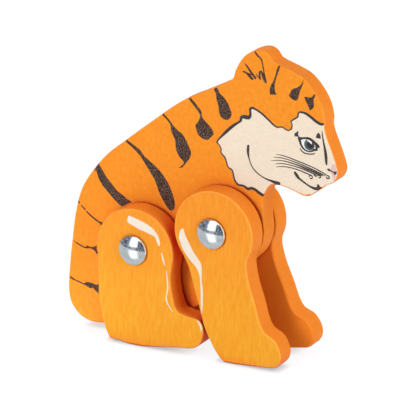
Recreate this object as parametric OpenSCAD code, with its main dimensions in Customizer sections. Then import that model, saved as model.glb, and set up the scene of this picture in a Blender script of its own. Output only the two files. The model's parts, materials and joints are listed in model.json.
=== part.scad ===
/* [Boards] */
// Thickness of the body board
body_t = 8.5; // [6:0.5:14]
// Thickness of each leg board
leg_t = 9; // [6:0.5:14]
// Size of the whole figure against its drawn outline
outline_scale = 1; // [0.8:0.05:1.3]
// Radius to which every board edge is eased
edge_ease = 0.8; // [0.2:0.1:1.2]
// Longest straight step along a sawn curve
curve_step = 2; // [1.5:0.5:4]

/* [Pins] */
// Diameter of the two pins that the legs turn on
pin_d = 4; // [3:0.5:5]
// Radial clearance of a pin in the bore of a board
bore_clearance = 0.08; // [0.02:0.01:0.1]
// Distance of the front pin in front of the figure's middle
front_pin_x = 10; // [6:0.5:14]
// Height of the front pin over the ground
front_pin_z = 51.2; // [43:0.1:62]
// Distance of the rear pin behind the figure's middle
rear_pin_x = 24; // [20:0.5:29]
// Height of the rear pin over the ground
rear_pin_z = 39; // [32.5:0.1:47]
// Least gap between a rear leg and the front leg before it
leg_gap = 0.6; // [0.3:0.1:3]

/* [Spacer washers] */
// Outside diameter of the washers between the body and the legs
spacer_d = 12; // [8:0.5:16]
// Thickness of those washers
spacer_t = 1.1; // [0.5:0.1:2]
// Free play on each side of a leg
side_play = 0.05; // [0.02:0.01:0.15]

/* [Push-on caps] */
// Outside diameter of the domed caps
cap_d = 12; // [10:0.5:16]
// Height of a cap over the leg
cap_h = 2.9; // [2.5:0.1:5]
// Height of the straight rim below the dome
cap_rim_h = 0.6; // [0.4:0.1:1]
// Radius of the round shoulder between the rim and the dome
cap_shoulder = 0.8; // [0.7:0.1:1.1]
// Thickness of the cap's sheet metal
cap_wall = 0.4; // [0.3:0.05:0.6]
// Thickness of the toothed washer inside a cap
grip_t = 0.4; // [0.3:0.05:0.5]
// Gap between the toothed washer's edge and the cap's rim
grip_gap = 0.05; // [0.02:0.01:0.2]
// Number of teeth that bite the pin
tooth_count = 6; // [4:1:8]
// Width of the slots between the teeth
tooth_slot = 0.5; // [0.3:0.1:0.8]
// Distance by which a pin stands out beyond the toothed washer
pin_end = 0.9; // [0.4:0.1:1.2]

/* [Pose at rest] */
// How much further forward the left front leg is swung than the right one
left_front_swing = 5; // [0:0.5:8]

/* [Hidden] */
$fn = 64;

paint = [0.99, 0.60, 0.17];
leg_paint = [1.00, 0.66, 0.20];
zinc = [0.78, 0.80, 0.83];
spring_steel = [0.45, 0.46, 0.48];
fibre = [0.60, 0.30, 0.15];

pin_r = pin_d / 2;
bore_r = pin_r + bore_clearance;
cap_r = cap_d / 2;

// The stack of layers along Y, from the middle of the body outwards
leg_inner_y = body_t / 2 + spacer_t + side_play;
leg_outer_y = leg_inner_y + leg_t;
cap_y = leg_outer_y + side_play;
pin_half = cap_y + grip_t + pin_end;

// The side of the figure: right is towards -Y
right = -1;
left = 1;

ease_steps = 2;
// Straight steps in the shoulder of a cap, and again in its dome
dome_steps = 5;
// How far a cutting solid stands out past what it cuts
over = 1;

// Outline of the body and head in the XZ plane, from the rump over the back to the nose and the belly.
// The middle of the figure is at x = 0 and the ground at z = 0.
body_points = [
    [-44, 2.2], [-49, 2], [-53.8, 3.7], [-57.8, 8.2], [-59, 14],
    [-58.3, 25], [-57.1, 35], [-55.5, 46], [-52.9, 55.5], [-48.6, 63],
    [-41.5, 71.6], [-32.8, 79], [-21.8, 87.9], [-9.2, 97.6], [0, 102.5],
    [8, 106.7], [12, 109], [13.4, 110.4], [14.7, 114.2], [18.2, 119.6],
    [22.5, 122.2], [26.2, 122.8], [28.9, 121.4], [30.4, 119.3], [32.2, 118.5],
    [37.8, 116.7], [43.1, 114.4], [48, 109.5], [51.1, 104.2], [52.3, 98.9],
    [52.1, 96.8], [52.9, 93.5], [55.7, 86.8], [57.8, 80.8], [57.7, 78.4],
    [56, 75.7], [52.9, 74], [49, 71], [46.6, 69.1], [44, 68.4],
    [40.5, 69.3], [36.8, 70.4], [32.6, 71], [30, 70.4], [28, 68.4],
    [26.6, 64.5], [26.8, 57], [27.3, 51], [26.2, 45.7], [23.5, 41],
    [10, 28], [2, 20], [-4, 15], [-12, 10.4], [-22, 6.8], [-33, 4.2]
];

// Both kinds of leg have a round top about the pin, and are drawn from the pin, upright.
// The round top runs from round_from to round_to degrees, counted from straight ahead.
front_round_r = 16.8;
front_round_from = -30;
front_round_to = 218;
rear_drawn_r = 16.5;
rear_round_from = -10;
rear_round_to = 190;
round_shift = 0.5;
// Largest turn from one point of the round top to the next
round_turn = 12;

// The rest of a leg's outline runs from the round top down the front, along the sole and up the back.
// A third number of 1 marks a corner, and the sole is flat between two corners.
// It is drawn for a pin at the drawn height, and is stretched upright to the pin's real height.
front_drawn_z = 51.2;
front_leg_back = [
    [3.2, -49.7], [0.2, -45.5], [-3.4, -38.4], [-5.2, -32], [-7.6, -24], [-10, -15.8]
];
front_leg_points = concat([
    [14.8, -12], [16.1, -18.5], [18.6, -26], [20.6, -32.8], [22.5, -36.1],
    [26.6, -38.5], [29, -42.3], [29.5, -46], [27.7, -49.4], [24.5, -50.1],
    [10, -front_drawn_z, 1], [5.4, -front_drawn_z, 1]
], front_leg_back);
rear_drawn_z = 39;
rear_toe = [29.9, -25.9];
rear_leg_points = [
    [16, -7.5], [16.2, -12.5], [17.2, -18], [19, -21.9], [23, -23.1],
    [27.4, -23.7], rear_toe, [29.9, -30], [28.4, -34], [25.4, -35.9],
    [20.3, -36.6], [3.5, -rear_drawn_z, 1], [-2.5, -rear_drawn_z, 1], [-6.4, -38.4], [-11, -38.1, 1],
    [-12.3, -35.4], [-13.6, -32], [-15, -24], [-15.6, -14]
];

// A rear leg is as wide as drawn, or narrower where the round top of the front leg leaves less room
pin_distance = norm([front_pin_x + rear_pin_x, front_pin_z - rear_pin_z]);
rear_round_r = min(rear_drawn_r, pin_distance - front_round_r - leg_gap);
rear_width = rear_round_r / rear_drawn_r;

// The rear paw starts this far in front of the rear pin, and its length follows the room behind the front leg
paw_start = 16 * rear_width;
rear_toe_z = rear_pin_z * (1 + rear_toe[1] / rear_drawn_z);
front_leg_back_x = lookup(
    (rear_toe_z / front_pin_z - 1) * front_drawn_z, [for (p = front_leg_back) [p[1], p[0]]]);
rear_reach = rear_pin_x + front_pin_x + front_leg_back_x - leg_gap;
paw_stretch = (rear_reach - paw_start) / (rear_toe[0] * rear_width - paw_start);

function round_top(r, from, to) =
    let (steps = ceil((to - from) / round_turn))
    [for (i = [0 : steps])
        let (a = to + (from - to) * i / steps)
        [round_shift + r * cos(a), r * sin(a)]];

function is_corner(p) = len(p) > 2 && p[2] == 1;
function plane(p) = [p[0], p[1]];

// Direction in which the curve leaves (towards = 1) or reaches (towards = -1) the point b of a, b, c.
// Through a corner it is that of the straight line on that side.
function direction(a, b, c, towards) =
    is_corner(b)
        ? (towards > 0 ? (plane(c) - plane(b)) / norm(plane(c) - plane(b))
                       : (plane(b) - plane(a)) / norm(plane(b) - plane(a)))
        : (plane(c) - plane(a)) / (norm(plane(c) - plane(b)) + norm(plane(b) - plane(a)));

// A smooth closed curve through the points, in steps no longer than curve_step
function smooth(points) = let (n = len(points)) [
    for (i = [0 : n - 1])
        let (
            before = points[(i + n - 1) % n],
            start = points[i],
            end = points[(i + 1) % n],
            after = points[(i + 2) % n],
            span = norm(plane(end) - plane(start)),
            go = direction(before, start, end, 1) * span,
            come = direction(start, end, after, -1) * span,
            straight = is_corner(start) && is_corner(end),
            steps = straight ? 1 : ceil(span / curve_step)
        )
        for (k = [0 : steps - 1])
            let (t = k / steps)
            (2 * pow(t, 3) - 3 * pow(t, 2) + 1) * plane(start)
            + (pow(t, 3) - 2 * pow(t, 2) + t) * go
            + (3 * pow(t, 2) - 2 * pow(t, 3)) * plane(end)
            + (pow(t, 3) - pow(t, 2)) * come
];

function corner_mark(p) = is_corner(p) ? 1 : 0;
function scaled(points) = [
    for (p = points) [p[0] * outline_scale, p[1] * outline_scale, corner_mark(p)]
];
function stretched(points, wide, high) = [for (p = points) [p[0] * wide, p[1] * high, corner_mark(p)]];
function with_paw(points) = [
    for (p = points)
        [p[0] > paw_start ? paw_start + (p[0] - paw_start) * paw_stretch : p[0], p[1], corner_mark(p)]
];

body_outline = smooth(scaled(body_points));
front_leg_outline = smooth(scaled(concat(
    stretched(front_leg_points, 1, front_pin_z / front_drawn_z),
    round_top(front_round_r, front_round_from, front_round_to))));
rear_leg_outline = smooth(scaled(concat(
    with_paw(stretched(rear_leg_points, rear_width, rear_pin_z / rear_drawn_z)),
    round_top(rear_round_r, rear_round_from, rear_round_to))));

// The outline moved inwards by d, with every side parallel to its old place
function left_of(v) = [-v[1], v[0]] / norm(v);
function inset(outline, d, turn) = let (n = len(outline)) [
    for (i = [0 : n - 1])
        let (
            a = left_of(outline[i] - outline[(i + n - 1) % n]),
            b = left_of(outline[(i + 1) % n] - outline[i])
        )
        outline[i] + turn * d * (a + b) / (1 + a * b)
];

// Twice the signed area inside an outline: its sign tells which way round the outline runs
function turned_area(outline) = let (n = len(outline))
    sumup([for (i = [0 : n - 1])
        let (p = outline[i], q = outline[(i + 1) % n]) p[0] * q[1] - q[0] * p[1]]);
function sumup(values, i = 0) = i < len(values) ? values[i] + sumup(values, i + 1) : 0;

// The eased rim of a board: a closed band round the outline, as deep as the easing
module eased_rim(outline, t) {
    n = len(outline);
    turn = turned_area(outline) > 0 ? 1 : -1;
    eased = [for (s = [0 : ease_steps])
        let (a = 90 * s / ease_steps)
        [edge_ease * (1 - sin(a)), t / 2 - edge_ease * (1 - cos(a))]];
    rings = concat(
        [for (e = eased) [e[0], -e[1]]],
        [for (s = [ease_steps : -1 : 0]) eased[s]]);
    ring_count = len(rings);
    points = [for (r = rings)
        for (p = inset(outline, r[0], turn)) [p[0], r[1], p[1]]];
    polyhedron(points, [for (k = [0 : ring_count - 1])
        for (i = [0 : n - 1])
            let (
                j = (i + 1) % n,
                here = k * n,
                next = ((k + 1) % ring_count) * n
            )
            turn > 0 ? [here + j, next + j, next + i, here + i]
                     : [here + i, next + i, next + j, here + j]]);
}

// A sawn board of thickness t about y = 0 with eased edges
module board(outline, t) {
    turn = turned_area(outline) > 0 ? 1 : -1;
    eased_rim(outline, t);
    rotate([90, 0, 0])
        linear_extrude(t, center = true)
            polygon(inset(outline, edge_ease, turn));
}

// A cylinder about the Y axis from y0 to y1
module round_y(r, y0, y1) {
    translate([0, y0, 0])
        rotate([-90, 0, 0])
            cylinder(r = r, h = y1 - y0);
}

module at_front_pin() {
    translate([front_pin_x * outline_scale, 0, front_pin_z * outline_scale])
        children();
}

module at_rear_pin() {
    translate([-rear_pin_x * outline_scale, 0, rear_pin_z * outline_scale])
        children();
}

module bore(t) {
    round_y(bore_r, -t / 2 - over, t / 2 + over);
}

module body_board() {
    color(paint)
        difference() {
            board(body_outline, body_t);
            at_front_pin() bore(body_t);
            at_rear_pin() bore(body_t);
        }
}

// A leg on one side of the body, swung forward about its pin
module leg(outline, side, swing) {
    color(leg_paint)
        translate([0, side * (leg_inner_y + leg_t / 2), 0])
            rotate([0, -swing, 0])
                difference() {
                    board(outline, leg_t);
                    bore(leg_t);
                }
}

module pin() {
    color(zinc) round_y(pin_r, -pin_half, pin_half);
}

// On one side, with y counted outwards from the middle of the body
module on_side(side) {
    mirror([0, side == right ? 1 : 0, 0])
        children();
}

module spacer(side) {
    color(fibre)
        on_side(side)
            difference() {
                round_y(spacer_d / 2, body_t / 2, body_t / 2 + spacer_t);
                round_y(bore_r, body_t / 2 - over, body_t / 2 + spacer_t + over);
            }
}

// The toothed washer that grips the end of a pin
module grip(side) {
    grip_r = cap_r - cap_wall - grip_gap;
    color(spring_steel)
        on_side(side)
            difference() {
                round_y(grip_r, cap_y, cap_y + grip_t);
                round_y(pin_r, cap_y - over, cap_y + grip_t + over);
                for (i = [0 : tooth_count - 1])
                    translate([0, cap_y + grip_t / 2, 0])
                        rotate([0, i * 360 / tooth_count, 0])
                            translate([0, -grip_t, -tooth_slot / 2])
                                cube([(pin_r + grip_r) / 2, 2 * grip_t, tooth_slot]);
            }
}

// A solid dome: a straight rim, a round shoulder and a shallow part of a ball, each running into the next
module dome(r, rim_h, h, shoulder) {
    flat_r = r - shoulder;
    rise = h - rim_h - shoulder;
    reach = (pow(rise, 2) + pow(flat_r, 2)) / (2 * rise);
    ball_r = reach + shoulder;
    tilt = asin(flat_r / reach);
    rotate([-90, 0, 0])
        rotate_extrude()
            polygon(concat(
                [[0, 0], [r, 0]],
                [for (i = [0 : dome_steps])
                    let (a = (90 - tilt) * i / dome_steps)
                    [flat_r + shoulder * cos(a), rim_h + shoulder * sin(a)]],
                [for (i = [1 : dome_steps])
                    let (a = tilt * (1 - i / dome_steps))
                    [ball_r * sin(a), h - ball_r * (1 - cos(a))]]));
}

// The domed sheet-metal cap over the toothed washer
module cap(side) {
    color(zinc)
        on_side(side)
            translate([0, cap_y, 0])
                difference() {
                    dome(cap_r, cap_rim_h, cap_h, cap_shoulder);
                    dome(cap_r - cap_wall, cap_rim_h, cap_h - cap_wall, cap_shoulder - cap_wall);
                    round_y(cap_r - cap_wall, -over, cap_rim_h / 2);
                }
}

module front_leg_right() { at_front_pin() leg(front_leg_outline, right, 0); }
module front_leg_left() { at_front_pin() leg(front_leg_outline, left, left_front_swing); }
module rear_leg_right() { at_rear_pin() leg(rear_leg_outline, right, 0); }
module rear_leg_left() { at_rear_pin() leg(rear_leg_outline, left, 0); }
module front_pin() { at_front_pin() pin(); }
module rear_pin() { at_rear_pin() pin(); }
module front_spacer_right() { at_front_pin() spacer(right); }
module front_spacer_left() { at_front_pin() spacer(left); }
module rear_spacer_right() { at_rear_pin() spacer(right); }
module rear_spacer_left() { at_rear_pin() spacer(left); }
module front_grip_right() { at_front_pin() grip(right); }
module front_grip_left() { at_front_pin() grip(left); }
module rear_grip_right() { at_rear_pin() grip(right); }
module rear_grip_left() { at_rear_pin() grip(left); }
module front_cap_right() { at_front_pin() cap(right); }
module front_cap_left() { at_front_pin() cap(left); }
module rear_cap_right() { at_rear_pin() cap(right); }
module rear_cap_left() { at_rear_pin() cap(left); }

body_board();
front_leg_right();
front_leg_left();
rear_leg_right();
rear_leg_left();
front_pin();
rear_pin();
front_spacer_right();
front_spacer_left();
rear_spacer_right();
rear_spacer_left();
front_grip_right();
front_grip_left();
rear_grip_right();
rear_grip_left();
front_cap_right();
front_cap_left();
rear_cap_right();
rear_cap_left();
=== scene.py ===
"""Looks of the sitting wooden tiger: painted boards, printed marks and bright push-on caps."""
import json
import math

import bmesh
import bpy
import numpy as np
from mathutils import Matrix, Vector
from mathutils.geometry import delaunay_2d_cdt


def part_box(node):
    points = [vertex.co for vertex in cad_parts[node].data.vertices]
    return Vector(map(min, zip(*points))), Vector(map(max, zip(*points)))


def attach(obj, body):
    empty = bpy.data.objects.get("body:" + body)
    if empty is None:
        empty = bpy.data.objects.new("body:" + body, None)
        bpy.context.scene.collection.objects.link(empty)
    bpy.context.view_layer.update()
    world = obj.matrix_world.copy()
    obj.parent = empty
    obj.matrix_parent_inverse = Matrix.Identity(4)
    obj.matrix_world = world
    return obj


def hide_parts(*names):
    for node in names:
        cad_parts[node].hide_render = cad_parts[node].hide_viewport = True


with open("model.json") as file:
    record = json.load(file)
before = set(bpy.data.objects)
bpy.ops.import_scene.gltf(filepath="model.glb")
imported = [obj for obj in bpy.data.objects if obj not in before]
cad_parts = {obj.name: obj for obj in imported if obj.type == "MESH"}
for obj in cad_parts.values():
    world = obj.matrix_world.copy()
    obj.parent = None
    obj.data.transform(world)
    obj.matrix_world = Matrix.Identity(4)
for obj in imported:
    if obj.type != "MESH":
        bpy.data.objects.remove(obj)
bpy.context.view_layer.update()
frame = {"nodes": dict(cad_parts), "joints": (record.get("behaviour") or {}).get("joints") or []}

# Lengths are in millimetres up to the point where a mesh is made. A point of a face is (x, z).
MM = 0.001
RIGHT = -1
LEFT = 1

# The view of the photograph: degrees round from straight abeam and above level, and the point looked at
VIEW_TURN = 28.2
VIEW_RISE = 18.9
VIEW_DISTANCE = 1500
VIEW_AIM = (8.4, -14.4, 61.2)
LENS = 344
SENSOR = 36
CLIP_START = 0.1
CLIP_END = 20

# Boards: the longest step of an outline, the turn that counts as a corner, and the steps round an eased edge
OUTLINE_STEP = 0.6
OUTLINE_CORNER = math.radians(28)
EASE_STEPS = 6
# Points of the frame this close, in metres, are one point, or lie in one plane
FRAME_SLACK = 1e-6

# Prints: step and corner of a drawn outline, and the points of a disc, an arc and a stroke's round end
SHAPE_STEP = 0.4
SHAPE_CORNER = math.radians(50)
DISC_SIDES = 32
ARC_POINTS = 9
ROUND_END_POINTS = 5
# How far an ink's underside is sunk into the paint, and how far the top of each layer stands above it
INK_SUNK = 0.03
INK_LOW = 0.03
INK_NOSE = 0.038
INK_EYE = 0.038
INK_IRIS = 0.044
INK_IRIS_INNER = 0.048
INK_HIGH = 0.05
INK_PUPIL = 0.052
INK_GLINT = 0.056
INK_TOP = 0.065
# How near to the board's own edge a print and the cream patch reach, and the rings where the skin bends
STRIPE_REACH = 0.2
PATCH_REACH = 0.3
WRAP_RINGS = (0.36, 0.46, 0.62)
# How far round a print the lines of its board are cut into it
PRINT_MARGIN = 1
# The most that a print leans on the eased edge, as a sine, the shortest edge of its triangles, and the least
# distance that a direction is taken over
MOST_LEAN = 0.9
TRIANGLE_SLACK = 1e-5
LEAST_DISTANCE = 1e-9

# Caps: wall, rim, the radii of the shoulder and of the rolled-in edge, and how finely each is turned
CAP_WALL = 0.4
CAP_RIM = 0.6
CAP_SHOULDER = 0.8
CAP_ROLL = 0.3
CAP_ROLL_RINGS = 5
CAP_TURNS = 128
CAP_SHOULDER_RINGS = 10
CAP_DOME_RINGS = 24
# A ring of the cap narrower than this, in metres, is the middle of the dome
CAP_MIDDLE = 1e-9

# Marks on the body's faces, as outlines
STRIPES = [
    # Back, from the rump forwards
    [(-44.9, 67.9), (-46.3, 66.2), (-45.3, 62.9), (-44.3, 60.7), (-42.5, 58.4), (-39.9, 55.9),
     (-37.7, 53.9), (-35.4, 52.2), (-34.4, 51.9), (-32.3, 53.3), (-30.3, 54.4), (-32, 55), (-33.7, 56.2),
     (-35.7, 57.2), (-37.1, 58.2), (-39.1, 60.3), (-40.5, 61.8), (-42.1, 63.7), (-43.5, 65.8)],
    [(-32.9, 79.6), (-33.5, 79), (-31.3, 77.4), (-29, 75.8), (-26.5, 73.6), (-24.9, 71.6), (-22.4, 68.1),
     (-20.1, 64.8), (-18.1, 59.9), (-15.3, 55.5), (-13.9, 54), (-13.1, 53.6), (-12, 54.2), (-11.4, 55.9),
     (-11.7, 58.4), (-12.5, 60.8), (-14.3, 64.5), (-17.9, 68.9), (-21.9, 71.9), (-25, 74.1), (-26.3, 75.8),
     (-28.5, 77.1)],
    [(-17.3, 91.9), (-14.8, 89.9), (-13.2, 87.9), (-12.9, 85.6), (-11.2, 82.2), (-10.8, 78.6), (-9.4, 75.9),
     (-7.7, 74.4), (-7.4, 73.6), (-8.5, 72.4), (-9.8, 71.3), (-8.1, 71.9), (-6.4, 73.9), (-4.8, 76.2),
     (-4.4, 78.4), (-5.9, 81.8), (-7.8, 84.7), (-11.1, 87.1), (-13.7, 89.9), (-16.6, 92.4)],
    [(-5.8, 100), (-3.8, 97.9), (-2.1, 96.1), (-0.8, 94.5), (-0.4, 93.3), (-1.1, 91.4), (-2.4, 89.3),
     (-2, 87.8), (-1.1, 85.8), (0.9, 84.6), (2.8, 84.5), (4.4, 85.9), (5.5, 87.2), (5, 88.5), (3.4, 90.3),
     (1.4, 92.1), (0.4, 93.2), (0.1, 95.4), (-1.1, 96.8), (-3, 98.8), (-4.9, 100.4)],
    [(4.9, 105.9), (6.3, 103.4), (6.6, 101.2), (7.5, 98.3), (7.9, 95.6), (9.1, 94), (11, 93.5),
     (12.4, 94.5), (13, 96.6), (12.2, 98.5), (11.5, 100.2), (9.6, 102.4), (8, 103.7), (7.4, 104.9),
     (6.2, 106.4)],
    # Rump
    [(-56.9, 34.7), (-54.2, 33.5), (-51.1, 32.5), (-50.1, 33.4), (-49, 32.9), (-47, 33.4), (-46, 34),
     (-46, 32.4), (-45.3, 30.7), (-46.2, 30.6), (-46.9, 31.6), (-48.7, 32.3), (-51.1, 32), (-54.4, 33)],
    [(-58.4, 18.7), (-57.7, 19.4), (-55.8, 18.3), (-53.8, 17.9), (-52.1, 17.4), (-50.6, 18.1),
     (-48.3, 18.1), (-46.6, 17.7), (-45.3, 18.2), (-45.3, 14.2), (-46.6, 15.1), (-48, 16.1), (-49.2, 15.8),
     (-50.6, 16.5), (-52.7, 17), (-55, 17.6), (-57, 18.1)],
    # Forehead
    [(33.1, 118.3), (32.5, 117.6), (32, 116.2), (31.5, 114.4), (31, 112.8), (30.5, 111.5), (29.7, 110.2),
     (29.1, 108.3), (29.3, 106.3), (32.1, 106.6), (31.3, 108.1), (31.2, 110.5), (31.5, 111.8),
     (31.9, 113.4), (32.6, 115.2), (33.1, 116.7), (33.5, 117.9)],
    [(43.2, 114.3), (42.3, 112.2), (40.6, 110.7), (38.3, 109.5), (37.7, 108.1), (37, 107.2), (38.3, 106),
     (40, 105.4), (40.9, 106.3), (41.7, 109.2), (42.9, 112.3)],
    [(43.6, 107.6), (44.8, 107.6), (46.3, 107.7), (47.2, 108.4), (47.7, 109.3), (48.2, 108.6),
     (47.4, 106.7), (47.6, 105.3), (47.4, 103.8), (46.6, 103.1), (46.1, 102.4), (45.2, 104.2), (44.2, 106)],
]

# Marks drawn with a brush, as points of its path with its width there
STRIPE_STROKES = [
    # Broken line over the rump
    [(-53.9, 50.8, 0.6), (-53.5, 50.4, 0.6)],
    [(-52.7, 49.3, 0.45), (-51, 48, 0.6)],
    [(-50.3, 47.2, 0.5), (-48.6, 45.9, 0.65), (-46.3, 44.5, 0.6), (-44.4, 43.6, 0.8), (-43.9, 43.4, 1.3)],
    [(-47, 65.9, 0.4), (-46.6, 65.3, 0.5), (-46.1, 64.5, 0.35)],
    # Ear
    [(22.9, 122, 0.6), (23.7, 121, 0.75), (24.7, 120.2, 0.65), (25.5, 119.5, 0.6), (25.9, 118.3, 0.55),
     (26.3, 116.6, 0.5), (26.6, 114.9, 0.5), (26.9, 113.2, 0.75), (27.4, 110.9, 1)],
    [(18.7, 116.8, 0.4), (19.9, 115.5, 0.75), (21.4, 113.6, 0.9), (23, 111.9, 1)],
    [(17.9, 113.7, 0.5), (19.3, 113.3, 0.8), (20.4, 112.6, 1.15), (21, 111.9, 1.05), (21.8, 111.3, 0.9)],
    [(20.1, 113.2, 0.4), (21.2, 113, 0.4), (22.2, 112.7, 0.3)],
    [(23.4, 113.5, 0.3), (23.9, 112.8, 0.35), (24.5, 112.4, 0.5), (25.1, 111.6, 0.6)],
    [(25.1, 111.7, 0.6), (24.8, 113.1, 0.7), (24.9, 114.3, 0.75), (25.4, 114.7, 0.9), (25.9, 114, 0.9),
     (26.3, 112.6, 0.8), (27, 111.2, 0.85)],
]

# The line round the cream patch of the face: over its top, and down the cheek to the throat
PATCH_TOP = [
    (6.8, 84.1, 0.5), (7.4, 85.2, 0.65), (8.7, 86.7, 0.8), (10.5, 88.6, 1.15), (12.3, 90.4, 1.2),
    (14.2, 92.1, 1.1), (16.1, 93.5, 0.85), (17, 94.3, 1), (17.1, 95.3, 1.15), (17.9, 95.9, 1.4),
    (19.2, 95.9, 1.6), (20.3, 95.9, 1.45), (21, 96.8, 1.1), (21, 98.2, 0.95), (20.9, 99.3, 1),
    (21.6, 100, 0.9), (22.7, 99.8, 0.8), (25.4, 98.6, 0.8), (28.4, 96.5, 0.8), (30.6, 94.8, 0.75),
    (32.2, 94, 0.6), (34.6, 94.3, 0.5), (35.7, 93.7, 0.5), (37.1, 93.4, 0.5), (38.4, 94.2, 0.5),
    (38.6, 95.8, 0.5), (38.1, 97.2, 0.5), (39.2, 98, 0.55), (41, 99.4, 0.6), (41.1, 100.6, 0.6),
    (41.8, 101.3, 0.65), (44.2, 101.1, 0.95), (46.4, 100, 1.1), (48.5, 98.7, 1.1), (50.4, 97.9, 1.1),
    (51.4, 98, 1)
]
PATCH_CHEEK = [
    (6.8, 84.2, 0.5), (8, 83, 0.45), (8.6, 81.8, 0.45), (8.6, 80.3, 0.5), (10.2, 78.7, 0.6),
    (10.8, 77.3, 0.55), (11.6, 75.1, 0.55), (13.3, 74.1, 0.6), (13.8, 72.7, 0.6), (14.5, 70.2, 0.7),
    (16, 68.7, 0.8), (18.2, 68.6, 0.8), (20.1, 67.7, 1.1), (21.5, 68.2, 1), (23.1, 67.9, 1.1),
    (25, 66.8, 1.2), (26.9, 66, 1.1)
]
# Past the front of the board, whose own edge cuts the patch, and back just above the edge of the jaw
PATCH_BEYOND = [
    (58, 99), (63, 84), (61, 70), (48, 68.2), (46.5, 69.9), (44.1, 69.1), (40.6, 70), (36.9, 71.1),
    (32.7, 71.7), (29.8, 71.1), (28.2, 69.5), (28.5, 65)
]

FACE_STROKES = [
    PATCH_TOP,
    PATCH_CHEEK,
    # Cheek and mouth
    [(20.2, 84.8, 0.9), (20.1, 83.5, 1.1), (20.1, 81.9, 0.95), (20.6, 79.6, 0.5), (21.7, 77, 0.45),
     (23.4, 75.1, 0.5), (25.7, 73.7, 0.5), (28.1, 72.8, 0.6), (30, 72.4, 0.9), (31.7, 72, 1.4),
     (33, 71.8, 1.7)],
    [(40, 77.2, 1.1), (40.8, 76.2, 1.3), (41.6, 75.3, 1), (42.8, 74.6, 0.75), (44.6, 73.6, 0.7),
     (46.3, 72.8, 0.75), (47.6, 72.4, 0.95), (48.8, 72.3, 1.15), (50, 72.5, 1.2), (51, 73, 0.6)],
    [(49.7, 73.8, 0.9), (49.9, 73, 1.8)],
    # Lids, the corner of the eye, and the line under it
    [(41.6, 91.2, 1), (42.1, 91, 1.2), (43.2, 91.3, 0.8), (44.6, 91.5, 0.9), (45.9, 91.5, 1.05),
     (47.1, 90.9, 1.1), (48.2, 90.2, 1.1), (49, 89.5, 1.3), (49.6, 89, 1.2)],
    [(41.6, 90.9, 1.2), (42, 89.8, 1), (42.4, 88.6, 0.85), (43.4, 87.3, 0.75), (44.7, 86.6, 0.6),
     (45.9, 86.5, 0.5), (47.2, 86.9, 0.6), (48.1, 87.5, 0.9), (48.9, 87.6, 0.9)],
    [(48.6, 89.6, 0.8), (48.9, 88.5, 1), (49, 87.7, 0.7)],
    [(42, 87.1, 0.35), (42.9, 86.1, 0.5), (44.3, 85.5, 0.5), (46.1, 85.5, 0.5), (47.6, 85.8, 0.45),
     (48.3, 86.2, 0.25)],
    # Bridge of the nose, and the nostril
    [(51.1, 95.2, 0.25), (51.3, 93.8, 0.45), (51.6, 91.9, 0.6), (52.1, 89.6, 0.8), (52.6, 87.3, 1.1),
     (52.9, 85, 1.2), (53, 83.5, 1), (53.1, 82.5, 0.6)],
    [(53.9, 80.6, 1), (54.3, 80.5, 0.85), (55.2, 80.2, 0.45), (56, 80, 0.5), (56.7, 79.8, 0.95)],
    [(57.2, 80.3, 0.4), (56.8, 79.8, 1), (56.4, 79.1, 0.45)],
    # Whiskers
    [(32.1, 83.2, 0.2), (34.8, 83.2, 0.35), (38.2, 82.6, 0.4), (42.4, 81.7, 0.45), (47, 80.6, 0.45),
     (51.2, 79.2, 0.45), (53.5, 78.2, 0.4)],
    [(31, 81.9, 0.2), (34.4, 82.2, 0.35), (37.8, 81.8, 0.35), (42, 81, 0.45), (46.6, 79.8, 0.5),
     (50.4, 78.7, 0.45), (52.5, 78, 0.35)],
    [(30, 80.5, 0.2), (34, 81.1, 0.35), (37.8, 80.9, 0.4), (41.1, 80.4, 0.55), (44.1, 79.7, 0.7),
     (47, 79, 0.7), (49.5, 78.3, 0.75), (51.4, 77.9, 0.4)],
    [(31.9, 79.5, 0.2), (34.8, 80, 0.35), (38.2, 79.9, 0.35), (41.6, 79.5, 0.45), (44.9, 78.8, 0.5),
     (47.9, 78, 0.5), (49.8, 77.5, 0.4)],
    [(32.1, 78.3, 0.2), (35.3, 78.9, 0.35), (38.6, 78.9, 0.4), (42, 78.4, 0.45), (44.9, 77.7, 0.5),
     (47, 77.1, 0.45)],
    [(47.9, 77.6, 0.4), (48.8, 77.1, 0.5)],
]
# Small open loops at the roots of the whiskers: middle, radius, and start and end in degrees
WHISKER_LOOPS = [
    ((53.7, 77.6), 0.6, 110, -170),
    ((50.2, 77.3), 0.5, 150, -100),
    ((46.6, 76.6), 0.65, 180, -110),
]
WHISKER_LOOP_WIDTH = 0.5
BROW_DROP = [
    (49.7, 94.5), (50.2, 94), (50.6, 92.8), (50.5, 92.2), (49.6, 92.2), (48.7, 92.2), (48.6, 92.7),
    (49.1, 93.9)
]
EYE_MARK = [
    (39.6, 92.7), (40.4, 93.1), (40.9, 93.9), (41.3, 93.5), (41.2, 92.4), (41.5, 91.6), (41.7, 91.2),
    (40.9, 91.5), (40.4, 91.6), (39.7, 91.5), (39.6, 92.1)
]
NOSE_PATCH = [
    (55.5, 82.8), (57.5, 83.5), (60, 80.5), (59, 76.5), (56.6, 75.5), (55.8, 77.2), (55.4, 78.8),
    (54.9, 79.6), (54.8, 80.8)
]
EYE_WHITE = [
    (42.4, 90.4), (43.3, 91), (44.9, 91.4), (46.2, 91.4), (47.4, 90.6), (48.6, 89.3), (48.5, 87.8),
    (47.3, 87), (45.9, 86.6), (44.6, 86.7), (43.3, 87.5), (42.5, 88.9)
]
IRIS = ((45.9, 89.1), 2.2)
IRIS_INNER = ((46.2, 89.15), 1.75)
PUPIL = ((46.3, 89.1), 1.25)
EYE_GLINT = [
    (44.9, 90.9), (45.5, 91.2), (46.3, 90.9), (46.9, 90.2), (47, 89.5), (46.5, 89.6), (45.8, 90.2),
    (45.1, 90.4)
]

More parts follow.
